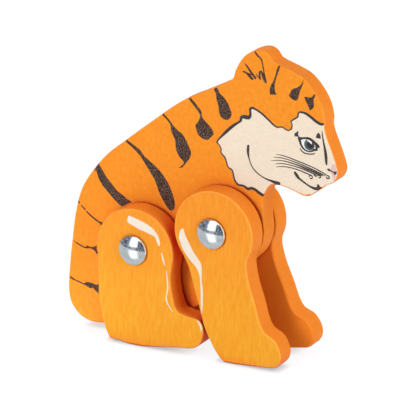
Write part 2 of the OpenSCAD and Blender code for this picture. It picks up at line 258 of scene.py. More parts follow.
# Pale highlights on the legs, from the leg's pin
REAR_LEG_BLOT = [
    (-2.1, 13.5), (-2.6, 11.8), (-2.2, 10.7), (0, 9.8), (2.8, 8.7), (5, 8.2), (7.3, 7.5), (9.4, 6.8),
    (10.2, 5), (10.9, 3.7), (11.4, 3.4), (11.7, 4.1), (11.3, 6.4), (10.3, 8.1), (8.8, 9.8), (6.8, 11),
    (4.5, 12), (2.3, 12.6), (0, 13.2), (-1.4, 13.6)
]
REAR_LEG_STROKES = [
    [(12.3, 0.7, 0.4), (13, -1.7, 0.65), (13.8, -4.2, 0.35)],
    [(14.4, -6.3, 0.3), (14.8, -10, 0.55), (14.9, -13.4, 0.55), (14.5, -16, 0.45), (14.3, -17.8, 0.6),
     (15.2, -19.8, 0.35), (16.5, -21.6, 0.3), (17.1, -22.2, 0.2)],
    [(26.9, -23.5, 0.25), (28.2, -24.4, 0.55), (29, -25.6, 0.7), (29.4, -27, 0.55), (29.4, -28.2, 0.2)],
]
FRONT_LEG_BLOT = [
    (-12.7, 0.1), (-13.7, -1.3), (-14.1, -4), (-13.5, -5.9), (-12.2, -8.6), (-10.5, -10.9), (-8.6, -12.9),
    (-6.9, -14.4), (-5.8, -16.3), (-5.1, -19), (-4.8, -23.4), (-4.7, -28), (-4.6, -33.8), (-4, -31),
    (-3.8, -28.1), (-3.8, -23.8), (-4.3, -19.6), (-4.3, -15.4), (-4.5, -13.5), (-5, -12.2), (-6.3, -10.6),
    (-8, -8.4), (-9.9, -5), (-11.3, -2.6), (-12.1, -0.2)
]

# Colours, in linear light
SIDE_ORANGE = (0.84, 0.23, 0.021)
# Lighter eased edges: partly worn paint, partly a painted highlight where the eased edge catches light
WORN_EDGE_AND_HIGHLIGHT = (0.9, 0.42, 0.1)
FIBRE = (0.3, 0.1, 0.04)
# Metals: colour, roughness, and how lumpy each is
METALS = {
    "zinc_cap": ((0.8, 0.83, 0.86), 0.1, 1.0),
    "pin_steel": ((0.52, 0.53, 0.55), 0.3, 0.3),
    "spring_steel": ((0.2, 0.2, 0.22), 0.35, 0.3),
}
# Paints: colour, the grain's cells a millimetre along x, y and z, where its noise starts, the edges' wear
# and painted highlight, and how the green changes between two heights, as painted light yellower towards the
# paw
PAINTS = {
    "body_paint": ((0.865, 0.279, 0.021), (0.7, 0.7, 0.5), 0.0, 0.2, None),
    "leg_paint": ((0.865, 0.326, 0.026), (1.1, 1.1, 0.16), 11.0, 0.55, (12, 60, 1.14, 0.9)),
}
# Inks: colour, colour of the flecks where the grain shows through, roughness, and how strong the flecks are
INKS = {
    "dark_print": ((0.028, 0.013, 0.009), (0.29, 0.19, 0.145), 0.6, 0.95),
    "face_print": ((0.045, 0.04, 0.042), (0.12, 0.105, 0.1), 0.6, 0.5),
    "cream_print": ((0.835, 0.73, 0.59), (0.72, 0.52, 0.38), 0.55, 0.75),
    "nose_print": ((0.74, 0.49, 0.445), (0.87, 0.66, 0.56), 0.55, 0.5),
    "white_print": ((0.81, 0.735, 0.64), (0.93, 0.66, 0.47), 0.5, 0.45),
    "eye_white_print": ((0.8, 0.77, 0.78), (0.85, 0.85, 0.84), 0.5, 0.3),
    "iris_print": ((0.068, 0.118, 0.128), (0.17, 0.27, 0.27), 0.5, 0.5),
    "iris_inner_print": ((0.05, 0.07, 0.068), (0.1, 0.13, 0.13), 0.5, 0.5),
    "pupil_print": ((0.035, 0.018, 0.013), (0.05, 0.03, 0.03), 0.5, 0.5),
}

# Tints and shades of a paint: where it is thin, thick, mottled or specked, and the same on the sawn sides
THIN_TINT = (1.0, 1.17, 1.6)
THICK_TINT = (0.95, 0.81, 0.6)
MOTTLE_TINT = (1.0, 0.92, 1.0)
SPECK_SHADE = 0.84
SAWN_THIN_TINT = (1.0, 1.04, 1.2)
SAWN_SHADE = 0.97
SAWN_SPECK_SHADE = 0.82
# Noise on the paint: cells a millimetre, detail and roughness, and how far past the grain's start it starts
STREAK_NOISE = (5.0, 0.65)
MOTTLE_NOISE = ((0.11, 0.11, 0.07), 3.0, 0.5)
SPECK_NOISE = ((1.8, 1.8, 1.2), 3.0, 0.6)
SAW_NOISE = ((1.6, 0.12, 1.6), 4.0, 0.6)
MOTTLE_SEED = 3
SPECK_SEED = 7
SAW_SEED = 5
# Where noise or the sawn value lies, from and to, and what it becomes where that isn't 0 to 1
STREAK_RANGE = (0.32, 0.68)
MOTTLE_RANGE = (0.35, 0.7, 0.0, 0.5)
SPECK_RANGE = (0.52, 0.72, 0.0, 0.4)
SAW_RANGE = (0.35, 0.65)
SAWN_SPECK_RANGE = (0.5, 0.75, 0.0, 0.3)
SIDE_RANGE = (0.75, 1.0)
EDGE_RISE = (0.1, 0.55)
EDGE_FALL = (0.8, 1.0, 1.0, 0.0)
WEAR_AND_HIGHLIGHT_RANGE = (0.35, 0.65)
PAINT_ROUGHNESS = (0.3, 0.7, 0.44, 0.56)
PAINT_SPECULAR = 0.05
# The least wear and painted highlight of an edge, as a share of the most
LEAST_WEAR_AND_HIGHLIGHT = 0.25
# The shares of specks and saw marks in the paint's bumps, and the bumps' depth in millimetres and strength
SPECK_BUMP = 0.5
SAW_BUMP = 0.2
PAINT_BUMP = (0.05, 0.5)
# Painted shade in gaps and crevices and beside the caps, darker and redder where little is open: how near
# the other side is in millimetres, the openness where the painted shade is deepest and where it starts, and
# the tint
PAINTED_GAP_SHADE = (
    (9, (0.3, 0.66), (1.03, 0.48, 1.4)),
    (2, (0.48, 0.75), (0.58, 0.25, 0.34)),
)
OPENNESS_SAMPLES = 8
# Ink, metal and fibre: noise as cells a millimetre, detail, roughness and start, the ranges as above, the
# shade of what the noise marks, the change of roughness, and the bumps' depth and strength
INK_GRAIN = ((2.3, 2.3, 2.9), 3.0, 0.6, 2.0)
INK_GRAIN_RANGE = (0.3, 0.7)
INK_FLECK_RANGE = (0.5, 0.62)
INK_MOTTLE = ((0.25, 0.25, 0.25), 2.0, 0.5, 5.0)
INK_MOTTLE_RANGE = (0.3, 0.7, 0.0, 0.35)
INK_MOTTLE_SHADE = 0.9
INK_SMOOTHER = -0.05
INK_ROUGHER = 0.08
INK_SPECULAR = 0.2
INK_BUMP = (0.03, 0.4)
METAL_LUMPS = ((0.5, 0.5, 0.5), 2.0, 0.5, 1.0)
METAL_SCRATCHES = ((5.0, 5.0, 0.8), 4.0, 0.6, 4.0)
SCRATCH_RANGE = (0.35, 0.7, 0.0, 0.5)
SCRATCH_SHADE = 0.82
SCRATCH_DULL_RANGE = (0.3, 0.7)
METAL_SMOOTHER = 0.7
METAL_ROUGHER = 1.4
SCRATCH_BUMP = 0.1
METAL_BUMP = (0.05, 0.5)
FIBRES = ((2.5, 2.5, 0.6), 4.0, 0.6, 6.0)
FIBRE_RANGE = (0.3, 0.7)
FIBRE_DARK = 0.75
FIBRE_LIGHT = 1.2
FIBRE_ROUGHNESS = 0.75
FIBRE_SPECULAR = 0.25
FIBRE_BUMP = (0.05, 0.5)


# Curves and outlines

def turn_at(before, here, after):
    a = here - before
    b = after - here
    return abs(math.atan2(a[0] * b[1] - a[1] * b[0], a @ b))


def smooth_curve(points, step, corner, closed):
    """A curve through the points in steps up to step long, sharp where they turn more than corner."""
    points = [np.array(p, float) for p in points]
    n = len(points)

    def tangent(i, towards):
        here = points[i]
        inner = closed or 0 < i < n - 1
        if inner and turn_at(points[i - 1][:2], here[:2], points[(i + 1) % n][:2]) < corner:
            before, after = points[i - 1], points[(i + 1) % n]
            return (after - before) / (np.linalg.norm(after - here) + np.linalg.norm(here - before))
        other = points[(i + towards) % n]
        return towards * (other - here) / np.linalg.norm(other - here)

    result = []
    for i in range(n if closed else n - 1):
        start, end = points[i], points[(i + 1) % n]
        span = np.linalg.norm(end - start)
        go = tangent(i, 1) * span
        come = tangent((i + 1) % n, -1) * span
        steps = max(1, math.ceil(span / step))
        for k in range(steps):
            t = k / steps
            result.append((2 * t**3 - 3 * t**2 + 1) * start + (t**3 - 2 * t**2 + t) * go
                          + (3 * t**2 - 2 * t**3) * end + (t**3 - t**2) * come)
    if not closed:
        result.append(points[-1])
    return np.array(result)


def shape(points):
    return smooth_curve(points, SHAPE_STEP, SHAPE_CORNER, True)


def around(middle, radius, angles):
    return middle + radius * np.column_stack([np.cos(angles), np.sin(angles)])


def disc(middle, radius):
    return around(middle, radius, np.linspace(0, 2 * math.pi, DISC_SIDES, endpoint=False))


def brush(points):
    """The outline of a brush stroke with round ends, through points of (x, z, width)."""
    path = smooth_curve(points, SHAPE_STEP, SHAPE_CORNER, False)
    line, half = path[:, :2], path[:, 2] / 2
    ahead = np.gradient(line, axis=0)
    ahead /= np.linalg.norm(ahead, axis=1)[:, None]
    across = np.column_stack([-ahead[:, 1], ahead[:, 0]])

    def end_cap(i, first_angle):
        base = math.atan2(across[i][1], across[i][0])
        angles = base + first_angle + np.linspace(0, -math.pi, ROUND_END_POINTS + 2)[1:-1]
        return around(line[i], half[i], angles)

    left = line + across * half[:, None]
    right = line - across * half[:, None]
    return np.vstack([left, end_cap(-1, 0), right[::-1], end_cap(0, math.pi)])


def arc_stroke(middle, radius, start, end, width):
    angles = np.radians(np.linspace(start, end, ARC_POINTS))
    return brush([(x, z, width) for x, z in around(middle, radius, angles)])


def signed_area(loop):
    x, z = loop[:, 0], loop[:, 1]
    return 0.5 * np.sum(x * np.roll(z, -1) - z * np.roll(x, -1))


def outward(loop):
    """The way out of a closed anticlockwise outline at each point, as long as a mitre needs."""
    into = loop - np.roll(loop, 1, axis=0)
    away = np.roll(loop, -1, axis=0) - loop
    a = np.column_stack([into[:, 1], -into[:, 0]]) / np.linalg.norm(into, axis=1)[:, None]
    b = np.column_stack([away[:, 1], -away[:, 0]]) / np.linalg.norm(away, axis=1)[:, None]
    return (a + b) / (1 + np.sum(a * b, axis=1))[:, None]


def inside(points, loop):
    """Which of the points lie inside a closed outline."""
    x, z = points[:, 0][:, None], points[:, 1][:, None]
    x0, z0 = loop[:, 0], loop[:, 1]
    x1, z1 = np.roll(x0, -1), np.roll(z0, -1)
    spans = (z0 > z) != (z1 > z)
    rise = np.where(z1 == z0, 1, z1 - z0)
    crossings = spans & (x < x0 + (z - z0) * (x1 - x0) / rise)
    return crossings.sum(axis=1) % 2 == 1


def nearest(points, loop):
    """Each point's distance to a closed outline, and the direction from the point to the outline."""
    a = loop
    ab = np.roll(loop, -1, axis=0) - a
    ap = points[:, None, :] - a[None]
    t = np.clip(np.sum(ap * ab, axis=2) / np.sum(ab * ab, axis=1), 0, 1)
    off = ab * t[..., None] - ap
    far = np.linalg.norm(off, axis=2)
    pick = far.argmin(axis=1)
    rows = np.arange(len(points))
    distance = far[rows, pick]
    return distance, off[rows, pick] / np.maximum(distance, LEAST_DISTANCE)[:, None]


# Reading the boards of the frame

class Board:
    """A board of the frame: its outline, its eased edge, its bores and its two faces."""

    def __init__(self, node):
        low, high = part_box(node)
        self.node = node
        self.low = np.array([low.x, low.z]) / MM
        self.high = np.array([high.x, high.z]) / MM
        self.face_y = {RIGHT: low.y / MM, LEFT: high.y / MM}
        loops = self.flat_loops(frame["nodes"][node].data, low.y)
        self.bores = loops[1:]
        self.ease = float(loops[0][:, 0].min() - self.low[0])
        self.flat = smooth_curve(loops[0], OUTLINE_STEP, OUTLINE_CORNER, True)
        self.out = outward(self.flat)
        self.edge = self.ring(0)

    @staticmethod
    def flat_loops(mesh, y):
        """The closed outlines of the flat face at y, the largest first, each anticlockwise."""
        bm = bmesh.new()
        bm.from_mesh(mesh)
        bmesh.ops.remove_doubles(bm, verts=bm.verts, dist=FRAME_SLACK)
        flat = {f for f in bm.faces if all(abs(v.co.y - y) < FRAME_SLACK for v in f.verts)}
        following = {}
        for face in flat:
            for loop in face.loops:
                if sum(f in flat for f in loop.edge.link_faces) == 1:
                    following[loop.vert.index] = loop.link_loop_next.vert.index
        where = {v.index: (v.co.x / MM, v.co.z / MM) for v in bm.verts}
        bm.free()
        loops = []
        while following:
            first = here = next(iter(following))
            loop = []
            while here in following:
                loop.append(where[here])
                here = following.pop(here)
            if here == first:
                loops.append(np.array(loop))
        loops.sort(key=lambda l: abs(signed_area(l)), reverse=True)
        return [l if signed_area(l) > 0 else l[::-1] for l in loops]

    def ring(self, inset):
        """The outline moved inwards from the board's own edge, kept in the board's box."""
        return np.clip(self.flat + self.out * (self.ease - inset), self.low, self.high)

    def drop(self, distance):
        """How far the eased edge falls away at a distance from the board's edge, and its lean's sine."""
        along = np.clip(1 - distance / self.ease, 0, 1)
        return self.ease * (1 - np.sqrt(1 - along**2)), along


# Making meshes

def mesh_of(name, bm):
    mesh = bpy.data.meshes.new(name)
    bm.to_mesh(mesh)
    bm.free()
    return mesh


def placed(name, mesh, material):
    """A new object in the scene."""
    mesh.materials.append(material)
    piece = bpy.data.objects.new(name, mesh)
    bpy.context.scene.collection.objects.link(piece)
    return piece


class Shell:
    """Points with their normals, and faces, gathered into one mesh."""

    def __init__(self):
        self.points = []
        self.normals = []
        self.sawn = []
        self.faces = []

    def add(self, plane, y, normals_in_plane, normal_y, sawn=0.0):
        """Adds points (x, z) at y, with normals and how sawn they are, and returns the first's number."""
        first = len(self.points)
        y = np.broadcast_to(y, len(plane))
        normal_y = np.broadcast_to(normal_y, len(plane))
        normals_in_plane = np.broadcast_to(normals_in_plane, (len(plane), 2))
        for p, h, n, ny in zip(plane, y, normals_in_plane, normal_y):
            self.points.append((p[0] * MM, h * MM, p[1] * MM))
            self.normals.append((n[0], ny, n[1]))
            self.sawn.append(sawn)
        return first

    def band(self, first, second, count):
        """Joins two closed rings. The faces look outwards where the rings run anticlockwise and y falls."""
        for i in range(count):
            j = (i + 1) % count
            self.faces.append((first + i, first + j, second + j, second + i))

    def cover(self, first, triangles, flip):
        for t in triangles:
            corners = [first + i for i in t]
            self.faces.append(tuple(corners[::-1] if flip else corners))

    def make(self, name, material):
        mesh = bpy.data.meshes.new(name)
        mesh.from_pydata(self.points, [], self.faces)
        mesh.validate()
        mesh.shade_smooth()
        attribute = mesh.attributes.new("sawn", "FLOAT", "POINT")
        attribute.data.foreach_set("value", self.sawn)
        mesh.normals_split_custom_set_from_vertices([Vector(n).normalized() for n in self.normals])
        return placed(name, mesh, material)


def triangulated(loops, lines=()):
    """All triangles between the points of closed loops and open lines, none crossing an edge of either."""
    points, edges = [], []
    for group, closed in [(l, True) for l in loops] + [(l, False) for l in lines]:
        first = len(points)
        points.extend(Vector(p) for p in group)
        edges.extend((first + i, first + i + 1) for i in range(len(group) - 1))
        if closed:
            edges.append((first + len(group) - 1, first))
    made, _, faces, _, _, _ = delaunay_2d_cdt(points, edges, [], 0, TRIANGLE_SLACK)
    return np.array([tuple(v) for v in made]), np.array([tuple(f) for f in faces])


def board_piece(board, material, body, printed):
    """The painted board with a truly round eased edge and its bores. Printed sides have the face coat."""
    shell = Shell()
    edge_out = board.out / np.linalg.norm(board.out, axis=1)[:, None]
    count = len(board.flat)
    rings = []
    for side in (RIGHT, LEFT):
        for step in range(EASE_STEPS + 1):
            a = math.radians(90 * step / EASE_STEPS)
            inset = board.ease * (1 - math.sin(a))
            y = board.face_y[side] - side * board.ease * (1 - math.cos(a))
            sawn = math.sin(a) if side in printed else 1.0
            first = shell.add(board.ring(inset), y, edge_out * math.sin(a), side * math.cos(a), sawn)
            rings.append((y, first))
    rings.sort()
    for (_, lower), (_, upper) in zip(rings, rings[1:]):
        shell.band(upper, lower, count)
    for side in (RIGHT, LEFT):
        loops = [board.ring(board.ease)] + board.bores
        points, triangles = triangulated(loops)
        middles = points[triangles].mean(axis=1)
        keep = inside(middles, loops[0])
        for bore in board.bores:
            keep &= ~inside(middles, bore)
        first = shell.add(points, board.face_y[side], (0, 0), side, 0.0 if side in printed else 1.0)
        shell.cover(first, triangles[keep], side == LEFT)
    for bore in board.bores:
        middle = bore.mean(axis=0)
        inwards = (middle - bore) / np.linalg.norm(middle - bore, axis=1)[:, None]
        near = shell.add(bore, board.face_y[RIGHT], inwards, 0, 1.0)
        far = shell.add(bore, board.face_y[LEFT], inwards, 0, 1.0)
        shell.band(near, far, len(bore))
    piece = shell.make("painted_" + board.node, material)
    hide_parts(board.node)
    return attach(piece, body)


def runs(loop, keep):
    """The stretches of a closed loop whose points are kept, as open lines."""
    if keep.all():
        return [np.vstack([loop, loop[:1]])]
    start = int(np.argmin(keep))
    loop, keep = np.roll(loop, -start, axis=0), np.roll(keep, -start)
    lines, line = [], []
    for point, kept in zip(loop, keep):
        if kept:
            line.append(point)
        elif line:
            lines.append(np.array(line))
            line = []
    if line:
        lines.append(np.array(line))
    return [l for l in lines if len(l) > 1]


def print_piece(name, shapes, board, side, height, material, body, reach, within=None):
    """Ink on a board, in one closed skin over the eased edge: the shapes joined, and cut to within."""
    cloud = np.vstack(shapes)
    low, high = cloud.min(axis=0) - PRINT_MARGIN, cloud.max(axis=0) + PRINT_MARGIN
    limit = board.ring(reach)
    lines = []
    for loop in [limit] + [board.ring(r) for r in WRAP_RINGS] + [board.flat]:
        near = np.all((loop > low) & (loop < high), axis=1)
        lines.extend(runs(loop, near))
    loops = list(shapes)
    if within is not None:
        loops.append(within)
    points, triangles = triangulated(loops, lines)
    middles = points[triangles].mean(axis=1)
    keep = np.zeros(len(triangles), bool)
    for outline in shapes:
        keep |= inside(middles, outline)
    keep &= inside(middles, limit)
    if within is not None:
        keep &= inside(middles, within)
    triangles = triangles[keep]
    used, flat = np.unique(triangles, return_inverse=True)
    points, triangles = points[used], flat.reshape(-1, 3)

    distance, towards_edge = nearest(points, board.edge)
    drop, lean = board.drop(distance)
    level = np.sqrt(1 - np.minimum(lean, MOST_LEAN)**2)
    face = board.face_y[side] - side * drop
    shell = Shell()
    tilt = towards_edge * lean[:, None]
    top = shell.add(points, face + side * height / level, tilt, side * level)
    under = shell.add(points, face - side * INK_SUNK, -tilt, -side * level)
    shell.cover(top, triangles, side == LEFT)
    shell.cover(under, triangles, side == RIGHT)
    edges = [pair for a, b, c in triangles for pair in ((a, b), (b, c), (c, a))]
    known = set(edges)
    for start, end in edges:
        if (end, start) not in known:
            wall = (top + end, top + start, under + start, under + end)
            shell.faces.append(wall[::-1] if side == LEFT else wall)
    piece = shell.make(name, material)
    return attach(piece, body)


def cap_piece(node, material, body):
    """A hollow sheet-metal cap: a rim with a rolled-in edge, a soft shoulder and a shallow dome."""
    low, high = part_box(node)
    radius = (high.x - low.x) / 2
    middle = (low + high) / 2
    side = LEFT if middle.y > 0 else RIGHT
    base = low.y if side == LEFT else high.y
    tall = high.y - low.y
    wall = CAP_WALL * MM
    rim = CAP_RIM * MM
    profile = []
    for inner in (False, True):
        r = radius - wall if inner else radius
        top = tall - wall if inner else tall
        shoulder = (CAP_SHOULDER - CAP_WALL if inner else CAP_SHOULDER) * MM
        flat = r - shoulder
        rise = top - rim - shoulder
        reach = (rise**2 + flat**2) / (2 * rise)
        tilt = math.asin(flat / reach)
        ball = reach + shoulder
        if inner:
            line = [(r, 0.0), (r, rim / 2)]
        else:
            roll = CAP_ROLL * MM
            bends = [math.pi / 2 * k / CAP_ROLL_RINGS for k in range(CAP_ROLL_RINGS + 1)]
            line = [(r - roll + roll * math.sin(a), roll - roll * math.cos(a)) for a in bends]
        for k in range(CAP_SHOULDER_RINGS + 1):
            a = (math.pi / 2 - tilt) * k / CAP_SHOULDER_RINGS
            line.append((flat + shoulder * math.cos(a), rim + shoulder * math.sin(a)))
        for k in range(1, CAP_DOME_RINGS + 1):
            a = tilt * (1 - k / CAP_DOME_RINGS)
            line.append((ball * math.sin(a), top - ball * (1 - math.cos(a))))
        profile.append(line)
    line = profile[0] + profile[1][::-1]
    bm = bmesh.new()
    rings = []
    for r, h in line:
        y = base + side * h
        if r < CAP_MIDDLE:
            rings.append([bm.verts.new((middle.x, y, middle.z))])
            continue
        rings.append([
            bm.verts.new((middle.x + r * math.cos(a), y, middle.z + r * math.sin(a)))
            for a in (2 * math.pi * i / CAP_TURNS for i in range(CAP_TURNS))
        ])
    rings.append(rings[0])
    for a, b in zip(rings, rings[1:]):
        if len(a) == 1 and len(b) == 1:
            continue
        for i in range(CAP_TURNS):
            j = (i + 1) % CAP_TURNS
            corners = [a[i % len(a)], a[j % len(a)], b[j % len(b)], b[i % len(b)]]
            bm.faces.new(list(dict.fromkeys(corners)))
    bmesh.ops.recalc_face_normals(bm, faces=bm.faces)
    mesh = mesh_of("domed_" + node, bm)
    mesh.shade_smooth()
    piece = placed("domed_" + node, mesh, material)
    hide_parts(node)
    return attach(piece, body)


# Materials

class Nodes:
    """A node tree. What feeds an input is another node's output, a number, a colour tuple, or a list."""

    def __init__(self, owner):
        owner.use_nodes = True
        self.nodes = owner.node_tree.nodes
        self.links = owner.node_tree.links

    def feed(self, place, value):
        if isinstance(value, (int, float, list)):
            place.default_value = value
        elif isinstance(value, tuple):
            place.default_value = (*value, 1.0)
        else:
            self.links.new(value, place)

    def node(self, kind, inputs, output, **settings):
        """Adds a node with its settings and what feeds its inputs, and returns one of its outputs."""
        node = self.nodes.new("ShaderNode" + kind)
        for name, value in settings.items():
            setattr(node, name, value)
        for place, value in inputs.items():
            self.feed(node.inputs[place], value)
        return node.outputs[output]

    def remap(self, value, low, high, to_low=0.0, to_high=1.0, **settings):
        ends = {"From Min": low, "From Max": high, "To Min": to_low, "To Max": to_high}
        return self.node("MapRange", {"Value": value, **ends}, "Result", **settings)

    def step_up(self, value, low, high):
        return self.remap(value, low, high, interpolation_type="SMOOTHSTEP")

    def math(self, operation, a, b=0.0):
        return self.node("Math", {0: a, 1: b}, "Value", operation=operation)

    def mix(self, factor, a, b, blend="MIX"):
        """Mixes two colours."""
        return self.node("Mix", {0: factor, 6: a, 7: b}, 2, data_type="RGBA", blend_type=blend)

    def tint(self, colour, by):
        return self.mix(1.0, colour, by, "MULTIPLY")


class Material(Nodes):
    """A node material on one Principled shader. Its noise is fixed to the object, in cells a millimetre."""

    def __init__(self, name, roughness=0.5, metallic=0.0, specular=0.5):
        self.material = bpy.data.materials.new(name)
        super().__init__(self.material)
        self.shader = self.nodes["Principled BSDF"]
        self.set("Roughness", roughness)
        self.set("Metallic", metallic)
        self.set("Specular IOR Level", specular)

    def set(self, name, value):
        self.feed(self.shader.inputs[name], value)

    def noise(self, scale, detail, roughness, seed):
        place = self.node("TexCoord", {}, "Object")
        moved = {"Vector": place, "Scale": [s / MM for s in scale], "Location": [seed, seed * 2, seed * 3]}
        cells = {"Vector": self.node("Mapping", moved, "Vector"), "Scale": 1.0}
        return self.node("TexNoise", {**cells, "Detail": detail, "Roughness": roughness}, "Fac")

    def openness(self, reach, samples=OPENNESS_SAMPLES):
        """1 in the open, and less the more is hidden by something within reach, in millimetres."""
        return self.node("AmbientOcclusion", {"Distance": reach * MM}, "AO", samples=samples)

    def height(self):
        return self.node("SeparateXYZ", {"Vector": self.node("TexCoord", {}, "Object")}, "Z")

    def bump(self, height, distance, strength):
        given = {"Distance": distance * MM, "Strength": strength, "Height": height}
        self.set("Normal", self.node("Bump", given, "Normal"))


def tinted(colour, tint):
    """A colour times a tint, which is a colour or a number."""
    return tuple(float(c) for c in np.multiply(colour, tint))


def painted_wood(name):
    """Satin paint on fine-grained wood: sawn sides, worn edges with a painted highlight, painted shade in
    gaps.
    """
    colour, grain, seed, wear_and_highlight, paw_light = PAINTS[name]
    m = Material(name, specular=PAINT_SPECULAR)
    streaks = m.noise(grain, *STREAK_NOISE, seed)
    mottle = m.noise(*MOTTLE_NOISE, seed + MOTTLE_SEED)
    specks = m.noise(*SPECK_NOISE, seed + SPECK_SEED)
    saw_marks = m.noise(*SAW_NOISE, seed + SAW_SEED)
    sawn = m.node("Attribute", {}, "Fac", attribute_name="sawn")

    streaked = m.mix(m.remap(streaks, *STREAK_RANGE), tinted(colour, THICK_TINT), tinted(colour, THIN_TINT))
    toned = m.mix(m.remap(mottle, *MOTTLE_RANGE), streaked, tinted(colour, MOTTLE_TINT))
    face = m.mix(m.remap(specks, *SPECK_RANGE), toned, tinted(colour, SPECK_SHADE))
    # Painted light: the leg's paint is made greener, so lighter and yellower, low down towards the paw
    if paw_light:
        low, high, green_low, green_high = paw_light
        lower, upper = (m.tint(face, (1.0, green, 1.0)) for green in (green_low, green_high))
        face = m.mix(m.remap(m.height(), low * MM, high * MM), lower, upper)

    marked = m.mix(m.remap(saw_marks, *SAW_RANGE), tinted(SIDE_ORANGE, SAWN_SHADE),
                   tinted(SIDE_ORANGE, SAWN_THIN_TINT))
    side = m.mix(m.remap(specks, *SAWN_SPECK_RANGE), marked, tinted(SIDE_ORANGE, SAWN_SPECK_SHADE))

    painted = m.mix(m.remap(sawn, *SIDE_RANGE), face, side)
    # Eased edges are lightened, partly as wear and partly as a painted highlight
    on_edge = m.math("MULTIPLY", m.remap(sawn, *EDGE_RISE), m.remap(sawn, *EDGE_FALL))
    worn_and_highlit = m.math("MULTIPLY", on_edge, m.remap(specks, *WEAR_AND_HIGHLIGHT_RANGE, wear_and_highlight * LEAST_WEAR_AND_HIGHLIGHT, wear_and_highlight))
    coat = m.mix(worn_and_highlit, painted, WORN_EDGE_AND_HIGHLIGHT)
    # Painted shade: where another piece is near, the paint is tinted darker and redder
    for reach, shade_opening, tint in PAINTED_GAP_SHADE:
        coat = m.mix(m.remap(m.openness(reach), *shade_opening, 1.0, 0.0), coat, m.tint(coat, tint))
    m.set("Base Color", coat)
    m.set("Roughness", m.remap(streaks, *PAINT_ROUGHNESS))
    saw_bumps = m.math("MULTIPLY", m.math("MULTIPLY", saw_marks, sawn), SAW_BUMP)
    bumps = m.math("ADD", streaks, m.math("MULTIPLY", specks, SPECK_BUMP))
    m.bump(m.math("ADD", bumps, saw_bumps), *PAINT_BUMP)
    return m.material


def ink(name):
    """Printed ink on wood: the grain below shows through it as flecks."""
    colour, flecks, roughness, fleck_share = INKS[name]
    m = Material(name, roughness, specular=INK_SPECULAR)
    grain = m.noise(*INK_GRAIN)
    mottle = m.noise(*INK_MOTTLE)
    flecked = m.mix(m.remap(grain, *INK_FLECK_RANGE, 0.0, fleck_share), colour, flecks)
    m.set("Base Color", m.mix(m.remap(mottle, *INK_MOTTLE_RANGE), flecked, tinted(colour, INK_MOTTLE_SHADE)))
    m.set("Roughness", m.remap(grain, *INK_GRAIN_RANGE, roughness + INK_SMOOTHER, roughness + INK_ROUGHER))
    m.bump(grain, *INK_BUMP)
    return m.material


def plated_metal(name):
    """Bright or brushed metal with faint unevenness and fine scratches."""
    colour, roughness, lumpy = METALS[name]
    m = Material(name, roughness, metallic=1.0)
    lumps = m.noise(*METAL_LUMPS)
    scratches = m.noise(*METAL_SCRATCHES)
    m.set("Base Color", m.mix(m.remap(scratches, *SCRATCH_RANGE), colour, tinted(colour, SCRATCH_SHADE)))
    smoothest, roughest = roughness * METAL_SMOOTHER, roughness * METAL_ROUGHER
    m.set("Roughness", m.remap(scratches, *SCRATCH_DULL_RANGE, smoothest, roughest))
    bumps = m.math("ADD", m.math("MULTIPLY", lumps, lumpy), m.math("MULTIPLY", scratches, SCRATCH_BUMP))
    m.bump(bumps, *METAL_BUMP)
    return m.material


def fibre_board(name):
    m = Material(name, FIBRE_ROUGHNESS, specular=FIBRE_SPECULAR)
    fibres = m.noise(*FIBRES)
    dark, light = tinted(FIBRE, FIBRE_DARK), tinted(FIBRE, FIBRE_LIGHT)
    m.set("Base Color", m.mix(m.remap(fibres, *FIBRE_RANGE), dark, light))
    m.bump(fibres, *FIBRE_BUMP)
    return m.material


# The object

def outer_side(leg):
    return LEFT if leg.endswith("left") else RIGHT


def build_boards():
    body_paint = painted_wood("body_paint")
    leg_paint = painted_wood("leg_paint")
    boards = {"body_board": Board("body_board")}
    board_piece(boards["body_board"], body_paint, "body", (RIGHT, LEFT))
    for joint in frame["joints"]:
        leg = joint["child"]
        boards[leg] = Board(leg)
        board_piece(boards[leg], leg_paint, leg, (outer_side(leg),))
    return boards


def print_body(board):
    """The stripes and the face, alike on both faces of the body board."""
    inks = {name: ink(name) for name in INKS if name != "white_print"}
    top = smooth_curve(PATCH_TOP, SHAPE_STEP, SHAPE_CORNER, False)[:, :2]
    cheek = smooth_curve(PATCH_CHEEK, SHAPE_STEP, SHAPE_CORNER, False)[:, :2]
    patch = np.vstack([top, PATCH_BEYOND, cheek[:0:-1]])
    stripes = [shape(s) for s in STRIPES] + [brush(s) for s in STRIPE_STROKES]
    loops = [arc_stroke(*loop, WHISKER_LOOP_WIDTH) for loop in WHISKER_LOOPS]
    lines = [brush(s) for s in FACE_STROKES] + loops + [shape(BROW_DROP), shape(EYE_MARK)]
    eye = shape(EYE_WHITE)
    # Name, shapes, height, ink, slot, and the outline that it is cut to
    prints = (
        ("stripes", stripes, INK_HIGH, "dark_print", "dark_print", None),
        ("face_patch", [patch], INK_LOW, "cream_print", "cream_print", None),
        ("nose_patch", [shape(NOSE_PATCH)], INK_NOSE, "nose_print", "cream_print", None),
        ("eye_white", [eye], INK_EYE, "eye_white_print", "white_print", None),
        ("iris", [disc(*IRIS)], INK_IRIS, "iris_print", "eye_print", eye),
        ("iris_inner", [disc(*IRIS_INNER)], INK_IRIS_INNER, "iris_inner_print", "eye_print", eye),
        ("pupil", [disc(*PUPIL)], INK_PUPIL, "pupil_print", "eye_print", eye),
        ("eye_glint", [shape(EYE_GLINT)], INK_GLINT, "eye_white_print", "white_print", eye),
        ("face_lines", lines, INK_TOP, "face_print", "dark_print", None),
    )
    for side, word in ((RIGHT, "right"), (LEFT, "left")):
        for name, shapes, height, kind, slot, within in prints:
            reach = PATCH_REACH if slot == "cream_print" else STRIPE_REACH
            full_name = f"{name}_{word}"
            print_piece(full_name, shapes, board, side, height, inks[kind], "body", reach, within)


